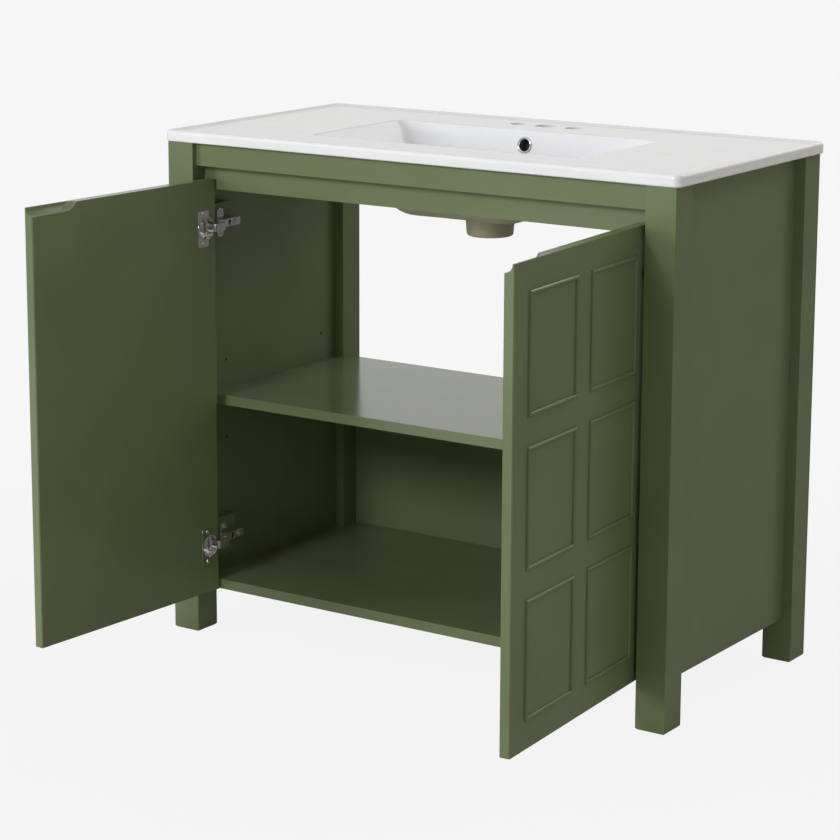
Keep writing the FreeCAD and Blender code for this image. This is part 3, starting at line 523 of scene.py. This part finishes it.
# The cup, with its profile as radius and height up the outside and, after the rim, down the inside
CUP_AXIS = -11.5
CUP_BORE = 16.65
FLANGE_UNDER = 9.0
FLANGE_TOP = 10.0
CUP_OUTSIDE = [(0, -3.4), (16.2, -3.4), (17.4, -2.2), (17.4, FLANGE_UNDER), (18.7, FLANGE_UNDER)]
CUP_INSIDE = [(CUP_BORE, -1.2), (15.4, -2.5), (0, -2.6)]
RIM_RADIUS = 18.8
RIM_BASE = 9.2
RIM_RISE = 1.0
FLANGE_LEFT = -30.3
FLANGE_RIGHT = -6.0
FLANGE_END = 29.0
FLANGE_ROUND = 4.5
FLANGE_BITE = 17.8
BITE_START = math.radians(72)
EAR_LEVELS = (-9.0, 9.0)

# Screws, with their places as across, along and height on the door or on the leg
HEAD_RADIUS = 3.5
HEAD_HEIGHT = 1.6
CROWN_RADIUS = 2.75
CROWN_STEPS = 11
CROWN_FALL = 0.045
BRIM_HEIGHT = 0.25
SHANK = [(0, -1), (1.7, -1), (1.7, 0), (3.3, 0)]
RECESS_DEPTH = 0.9
RECESS_HALF_WIDTH = 0.75
RECESS_REACH = 2.2
RECESS_SIDE_SLOPE = 0.25
RECESS_END_SLOPE = 0.3
CUP_SCREWS = [(-17.5, -24, FLANGE_TOP), (-17.5, 24, FLANGE_TOP)]
PLATE_SCREWS = [(PLATE_SCREW_LINE, -16, PLATE_SHEET), (PLATE_SCREW_LINE, 16, PLATE_SHEET)]
ARM_SCREWS = [(14.6, 0, TAIL_TOP), (TAIL_HOLE_LINE, 0, TAIL_TOP - CUT_EDGE)]

# What is drawn flat, with its height as Z, is laid on the door's back or on the leg's inner face
ON_DOOR = Matrix(((1, 0, 0, 0), (0, 0, 1, 0), (0, 1, 0, 0), (0, 0, 0, 1)))
ON_LEG = Matrix(((0, 0, -1, LEG_INNER), (1, 0, 0, 0), (0, 1, 0, 0), (0, 0, 0, 1)))


def in_carcass(side, level):
    """Places carcass measures, with Z from the hinge's level, in the scene."""
    return Matrix.Diagonal((SIDES[side] * MM, MM, MM, 1)) @ Matrix.Translation((0, 0, level))


def in_door(side, level):
    """Places door measures, from the pivot of the closed door, in the scene with the door open."""
    swing = Matrix.Rotation(OPEN_TURN, 4, "Z")
    return in_carcass(side, level) @ Matrix.Translation((PIVOT_X, PIVOT_Y, 0)) @ swing


def cross_recess(x, y):
    """How far the driver's cross, with its sloping walls, is let into a screw's head."""
    narrow, wide = sorted((abs(x), abs(y)))
    side_wall = min(max((RECESS_HALF_WIDTH - narrow) / RECESS_SIDE_SLOPE, 0), 1)
    end_wall = min(max((RECESS_REACH - wide) / RECESS_END_SLOPE, 0), 1)
    return RECESS_DEPTH * side_wall * end_wall


def screw_head(metal, place):
    """A pan head with a cross recess, standing on the plane."""
    radii = [CROWN_RADIUS * step / CROWN_STEPS for step in range(CROWN_STEPS, -1, -1)]
    crown = [(radius, HEAD_HEIGHT - CROWN_FALL * radius ** 2) for radius in radii]
    brim_rise = crown[0][1] - BRIM_HEIGHT
    brim = arc((CROWN_RADIUS, BRIM_HEIGHT), (HEAD_RADIUS - CROWN_RADIUS, brim_rise), 0, math.pi / 2, steps=4)
    rings = turn(metal, SHANK + brim[:-1] + crown, place)
    for crown_ring in rings[-len(crown):]:
        for vert in crown_ring:
            local = place.inverted() @ vert.co
            vert.co = place @ (local - Vector((0, 0, cross_recess(local.x, local.y))))


def screw_heads(metal, place, spots):
    """A screw head at each of these spots."""
    for spot in spots:
        screw_head(metal, place @ Matrix.Translation(spot))


def cup_pressing(metal, place):
    """The cup with its rolled rim, the flange with round ends and the ears that hold the pin."""
    rim = arc(((RIM_RADIUS + CUP_BORE) / 2, RIM_BASE), ((RIM_RADIUS - CUP_BORE) / 2, RIM_RISE), 0, math.pi,
              steps=8)
    turn(metal, CUP_OUTSIDE + rim + CUP_INSIDE, place @ Matrix.Translation((CUP_AXIS, 0, 0)) @ ON_DOOR)

    bend = (FLANGE_ROUND, FLANGE_ROUND)
    bend_level = FLANGE_END - FLANGE_ROUND
    bite = arc((CUP_AXIS, 0), (FLANGE_BITE, FLANGE_BITE), BITE_START, math.pi, steps=18)
    left_corner = arc((FLANGE_LEFT + FLANGE_ROUND, bend_level), bend, math.pi, math.pi / 2, CORNER_STEPS)
    right_corner = arc((FLANGE_RIGHT - FLANGE_ROUND, bend_level), bend, math.pi / 2, 0, CORNER_STEPS)
    for up in (1, -1):
        wing = [(x, up * z) for x, z in bite + left_corner + right_corner]
        press(metal, place @ ON_DOOR, [wing], FLANGE_UNDER, FLANGE_TOP, edge=0.35)

    for level in EAR_LEVELS:
        turn(metal, barrel(bore=0, radius=2.8, half_length=2, chamfer=0.3),
             place @ Matrix.Translation((0, 0, level)))


def arm_pressing(metal, place):
    """The cranked channel: its strip, two cheeks, the slotted tail and the eye on the pin."""
    front = PIVOT_Y - ARM_SHEET / 2
    inner_x = CRANK_X + ARM_SHEET
    inner_y = CRANK_Y - ARM_SHEET
    tail_top = LEG_INNER - TAIL_TOP
    tail_under = LEG_INNER - TAIL_UNDER
    strip = rounded([(PIVOT_X, front, CUT_EDGE), (CRANK_X, front, OUTER_BEND),
                     (CRANK_X, CRANK_Y, OUTER_BEND), (tail_top, CRANK_Y, INNER_BEND),
                     (tail_top, STRIP_END, CUT_EDGE), (tail_under, STRIP_END, CUT_EDGE),
                     (tail_under, inner_y, OUTER_BEND), (inner_x, inner_y, INNER_BEND),
                     (inner_x, front + ARM_SHEET, INNER_BEND), (PIVOT_X, front + ARM_SHEET, CUT_EDGE)])
    press(metal, place, [strip], -ARM_HALF_WIDTH, ARM_HALF_WIDTH, edge=0.5)

    cheek_x = CRANK_X + 2 * CHEEK_INSET
    cheek_y = CRANK_Y - CHEEK_INSET
    cheek_top = tail_top + CHEEK_INSET
    cheek_end = TAIL_END - 2 * CHEEK_INSET
    cheek = rounded([(cheek_x, CHEEK_FRONT, 0.8), (cheek_x, cheek_y, OUTER_BEND - CHEEK_INSET),
                     (cheek_top, cheek_y, INNER_BEND - CHEEK_INSET), (cheek_top, cheek_end, 2.0),
                     (CHEEK_FOOT, cheek_end, 4.0), (CHEEK_FOOT, CRANK_Y - ARM_SHEET / 2, 9.0),
                     (cheek_x + CHEEK_DEPTH, CHEEK_FRONT, 2.0)])
    for low in (CHEEK_SIDE - CHEEK_SHEET, -CHEEK_SIDE):
        press(metal, place, [cheek], low, low + CHEEK_SHEET, edge=0.3)

    tail = rounded([(TAIL_START, -ARM_HALF_WIDTH, CUT_EDGE), (TAIL_END, -ARM_HALF_WIDTH, TAIL_ROUND),
                    (TAIL_END, ARM_HALF_WIDTH, TAIL_ROUND), (TAIL_START, ARM_HALF_WIDTH, CUT_EDGE)])
    slot = slab((SLOT_START, -SLOT_HALF_WIDTH), (SLOT_END, SLOT_HALF_WIDTH), SLOT_ROUND)
    screw_hole = circle(TAIL_HOLE_LINE, 0, TAIL_HOLE_RADIUS, CIRCLE_STEPS)
    press(metal, place @ ON_LEG, [tail, slot, screw_hole], TAIL_UNDER, TAIL_TOP, edge=0.4)

    turn(metal, barrel(EYE_BORE, EYE_RADIUS, ARM_HALF_WIDTH, chamfer=0.2),
         place @ Matrix.Translation((PIVOT_X, PIVOT_Y, 0)), closed=True)


def plate_pressing(metal, place):
    """The wings with round ends and the hollow saddle that the arm slides on."""
    wings = slab((PLATE_SCREW_LINE - WING_HALF_WIDTH, -WING_HALF_SPAN),
                 (PLATE_SCREW_LINE + WING_HALF_WIDTH, WING_HALF_SPAN), WING_ROUND)
    press(metal, place @ ON_LEG, [wings], 0, PLATE_SHEET, edge=0.5)
    saddle = slab((plate_low.y, -SADDLE_HALF_WIDTH), (plate_high.y, SADDLE_HALF_WIDTH), SADDLE_ROUND)
    hollow = slab((HOLLOW_START, -SLOT_HALF_WIDTH), (HOLLOW_END, SLOT_HALF_WIDTH), SLOT_ROUND)
    press(metal, place @ ON_LEG, [saddle, hollow], 0, SADDLE_HEIGHT, edge=0.4)


def cup_screw_heads(metal, place):
    """The two screws of a cup's flange."""
    screw_heads(metal, place @ ON_DOOR, CUP_SCREWS)


def plate_screw_heads(metal, place):
    """The two screws of a mounting plate's wings."""
    screw_heads(metal, place @ ON_LEG, PLATE_SCREWS)


def arm_screw_heads(metal, place):
    """The setting screw on the arm and the fixing screw in its tail."""
    screw_heads(metal, place @ ON_LEG, ARM_SCREWS)


def nickel_piece(name, make, place_of, side, body, node):
    """One piece for both hinges of a door, in place of the plain solids."""
    metal = bmesh.new()
    for level in HINGE_LEVELS:
        make(metal, place_of(side, level))
    metal_piece(f"{side}_{name}", metal, nickel, body, f"{side}_{node}")


for side in SIDES:
    door = f"{side}_door"
    nickel_piece("cup_pressings", cup_pressing, in_door, side, door, "hinge_cups")
    nickel_piece("arm_pressings", arm_pressing, in_carcass, side, "carcass", "hinge_arms")
    nickel_piece("plate_pressings", plate_pressing, in_carcass, side, "carcass", "mounting_plates")
    nickel_piece("cup_screw_heads", cup_screw_heads, in_door, side, door, "cup_screws")
    nickel_piece("plate_screw_heads", plate_screw_heads, in_carcass, side, "carcass", "plate_screws")
    nickel_piece("arm_screw_heads", arm_screw_heads, in_carcass, side, "carcass", "arm_screws")


# Overflow trim, in millimetres, on the rear wall of the bowl

OVERFLOW_PLACE = (0, 287.32, 786.5)
REAR_WALL_RUN = 14.5
BOWL_DEPTH = 106.0
TRIM_RADIUS = box_mm("overflow_ring")[1].x
CREST_RADIUS = 11.2
CREST_HEIGHT = 2.5
THROAT_RADIUS = 8.0
FUNNEL_DEPTH = 8.0
SLEEVE_RADIUS = 10.9
SLEEVE_LENGTH = 9.0


def trim_profile():
    """Radius and height off the wall of the rolled flange, the funnel in it and the sleeve behind it."""
    roll = arc((CREST_RADIUS, 0), (TRIM_RADIUS - CREST_RADIUS, CREST_HEIGHT), 0, math.pi / 2, steps=8)
    funnel = arc((CREST_RADIUS, CREST_HEIGHT - FUNNEL_DEPTH), (CREST_RADIUS - THROAT_RADIUS, FUNNEL_DEPTH),
                 math.pi / 2, math.pi, steps=8)
    sleeve = [(THROAT_RADIUS, -SLEEVE_LENGTH), (SLEEVE_RADIUS, -SLEEVE_LENGTH), (SLEEVE_RADIUS, 0)]
    return roll + funnel[1:] + sleeve


wall_lean = math.atan(REAR_WALL_RUN / BOWL_DEPTH)
on_wall = Matrix.Translation(OVERFLOW_PLACE) @ Matrix.Rotation(math.pi / 2 - wall_lean, 4, "X")
trim = bmesh.new()
turn(trim, trim_profile(), Matrix.Scale(MM, 4) @ on_wall, closed=True)
metal_piece("overflow_trim", trim, bright_chrome, "carcass", "overflow_ring")


# Studio

BACKDROP = linear("#f6f6f6")
FLOOR_HALF = 12.0

# Gloss sees the backdrop at the room's level, but bright where X is between these: it rises from the
# first to the second and falls from the third to the last. The world's X is that of its direction.
ROOM_LEVEL = 0.15
WORLD_BRIGHT = (-1.4, -1.2, 0.0, 0.4)
FLOOR_BRIGHT = (-2.4, -2.15, -0.65, -0.4)

# The floor shows this share of its lit paint and shadow near the object, and none of it farther out
SHADOW_SHARE = 0.05
SHADOW_NEAR = 0.5
SHADOW_FAR = 1.6

# Where the lamps point: at the doors or at the middle of the cabinet
DOORS = (0, -0.1, 0.45)
CABINET = (0, 0, 0.5)

# The photograph's view, from a camera fitted to the cabinet's straight edges
CAMERA_PLACE = (2.1912, -3.2618, 1.3198)
CAMERA_DIP = math.radians(11.3888)
CAMERA_HEADING = math.radians(35.0356)
SENSOR_MM = 36.0
LENS_MM = 114.35
LENS_SHIFT = (0.06, -0.1)


def backdrop_rays(tree):
    """1 for the rays that see the backdrop as it looks: the camera's, glossy and transmitted ones."""
    path = add(tree, "ShaderNodeLightPath")
    seen = add(tree, "ShaderNodeMath", {0: path.outputs["Is Camera Ray"], 1: path.outputs["Is Glossy Ray"]},
               operation="MAXIMUM")
    seen = add(tree, "ShaderNodeMath", {0: seen.outputs[0], 1: path.outputs["Is Transmission Ray"]},
               operation="MAXIMUM")
    return seen.outputs[0]


def backdrop_level(tree, place, bright):
    """The backdrop's level: even to look at, but gloss sees it bright only over a stretch of X."""
    rise_start, rise_end, fall_start, fall_end = bright
    path = add(tree, "ShaderNodeLightPath")
    along = add(tree, "ShaderNodeSeparateXYZ", {0: place})
    rise = add(tree, "ShaderNodeMapRange", {"Value": along.outputs["X"], "From Min": rise_start,
                                            "From Max": rise_end, "To Min": ROOM_LEVEL, "To Max": 1.0},
               interpolation_type="SMOOTHSTEP")
    fall = add(tree, "ShaderNodeMapRange", {"Value": along.outputs["X"], "From Min": fall_start,
                                            "From Max": fall_end, "To Min": 1.0, "To Max": ROOM_LEVEL},
               interpolation_type="SMOOTHSTEP")
    room = add(tree, "ShaderNodeMath", {0: rise.outputs[0], 1: fall.outputs[0]}, operation="MINIMUM")
    level = add(tree, "ShaderNodeMix", {FACTOR: path.outputs["Is Glossy Ray"], FIRST_NUMBER: 1.0,
                                        SECOND_NUMBER: room.outputs[0]}, data_type="FLOAT")
    return level.outputs[0]


def studio_world():
    """An even pale surround to look at, and a softer level of it to light by."""
    world = bpy.data.worlds.new("studio")
    bpy.context.scene.world = world
    world.use_nodes = True
    tree = world.node_tree
    tree.nodes.clear()
    way = add(tree, "ShaderNodeTexCoord").outputs["Generated"]
    light = add(tree, "ShaderNodeBackground", {"Color": linear("#fff0d8"), "Strength": 0.28})
    look = add(tree, "ShaderNodeBackground", {"Color": BACKDROP,
                                              "Strength": backdrop_level(tree, way, WORLD_BRIGHT)})
    both = add(tree, "ShaderNodeMixShader", {0: backdrop_rays(tree), 1: light.outputs[0],
                                             2: look.outputs[0]})
    add(tree, "ShaderNodeOutputWorld", {"Surface": both.outputs[0]})


def pale_floor():
    """Matt pale paint that shows as the backdrop and keeps a soft shadow near the object."""
    material, tree = new_material("pale_floor")
    place = add(tree, "ShaderNodeTexCoord").outputs["Object"]
    reach = add(tree, "ShaderNodeVectorMath", {0: place}, operation="LENGTH")
    keep = add(tree, "ShaderNodeMapRange", {"Value": reach.outputs["Value"], "From Min": SHADOW_NEAR,
                                            "From Max": SHADOW_FAR, "To Min": SHADOW_SHARE, "To Max": 0.0})
    paint = add(tree, "ShaderNodeBsdfDiffuse", {"Color": linear("#e8e8e8")})
    glow = add(tree, "ShaderNodeEmission", {"Color": BACKDROP,
                                            "Strength": backdrop_level(tree, place, FLOOR_BRIGHT)})
    looked_at = add(tree, "ShaderNodeMixShader", {0: keep.outputs[0], 1: glow.outputs[0],
                                                  2: paint.outputs[0]})
    both = add(tree, "ShaderNodeMixShader", {0: backdrop_rays(tree), 1: paint.outputs[0],
                                             2: looked_at.outputs[0]})
    add(tree, "ShaderNodeOutputMaterial", {"Surface": both.outputs[0]})
    return material


def studio_floor():
    """A wide plain floor under the object."""
    mesh = bpy.data.meshes.new("floor")
    corners = [(-FLOOR_HALF, -FLOOR_HALF, 0), (FLOOR_HALF, -FLOOR_HALF, 0), (FLOOR_HALF, FLOOR_HALF, 0),
               (-FLOOR_HALF, FLOOR_HALF, 0)]
    mesh.from_pydata(corners, [], [(0, 1, 2, 3)])
    mesh.materials.append(pale_floor())
    floor = bpy.data.objects.new("floor", mesh)
    bpy.context.scene.collection.objects.link(floor)


def softbox(name, place, aim, size, power, colour, mirrored=True):
    """A square soft light that points at a place. Gloss may be kept from mirroring it."""
    lamp = bpy.data.lights.new(name, "AREA")
    lamp.shape = "SQUARE"
    lamp.size = size
    lamp.energy = power
    lamp.color = linear(colour)[:3]
    box = bpy.data.objects.new(name, lamp)
    box.location = place
    box.rotation_euler = (Vector(aim) - Vector(place)).to_track_quat("-Z", "Y").to_euler()
    box.visible_glossy = mirrored
    bpy.context.scene.collection.objects.link(box)


def studio_camera():
    """The photograph's view: from the front right, a little above the top."""
    lens = bpy.data.cameras.new("camera")
    lens.sensor_width = SENSOR_MM
    lens.lens = LENS_MM
    lens.shift_x, lens.shift_y = LENS_SHIFT
    lens.clip_end = 100.0
    camera = bpy.data.objects.new("camera", lens)
    camera.location = CAMERA_PLACE
    camera.rotation_euler = (math.pi / 2 - CAMERA_DIP, 0, CAMERA_HEADING)
    bpy.context.scene.collection.objects.link(camera)
    bpy.context.scene.camera = camera


studio_world()
studio_floor()
softbox("key", (-8.2, -8.6, 3.2), DOORS, size=5.0, power=735, colour="#f6f8ff", mirrored=False)
softbox("front", (-0.35, -4.4, 2.5), DOORS, size=1.0, power=99, colour="#fafcff")
softbox("right_front", (2.2, -3.8, 1.8), DOORS, size=2.0, power=10, colour="#ffebd0")
softbox("rear", (1.6, 2.8, 1.3), CABINET, size=2.0, power=12, colour="#fff0e0", mirrored=False)
softbox("overhead", (1.6, -0.2, 3.3), CABINET, size=2.2, power=18, colour="#f6f9ff")
softbox("back_top", (1.0, 2.8, 2.7), CABINET, size=2.9, power=37, colour="#f8fbff")
studio_camera()
bpy.context.scene.view_settings.view_transform = "Standard"
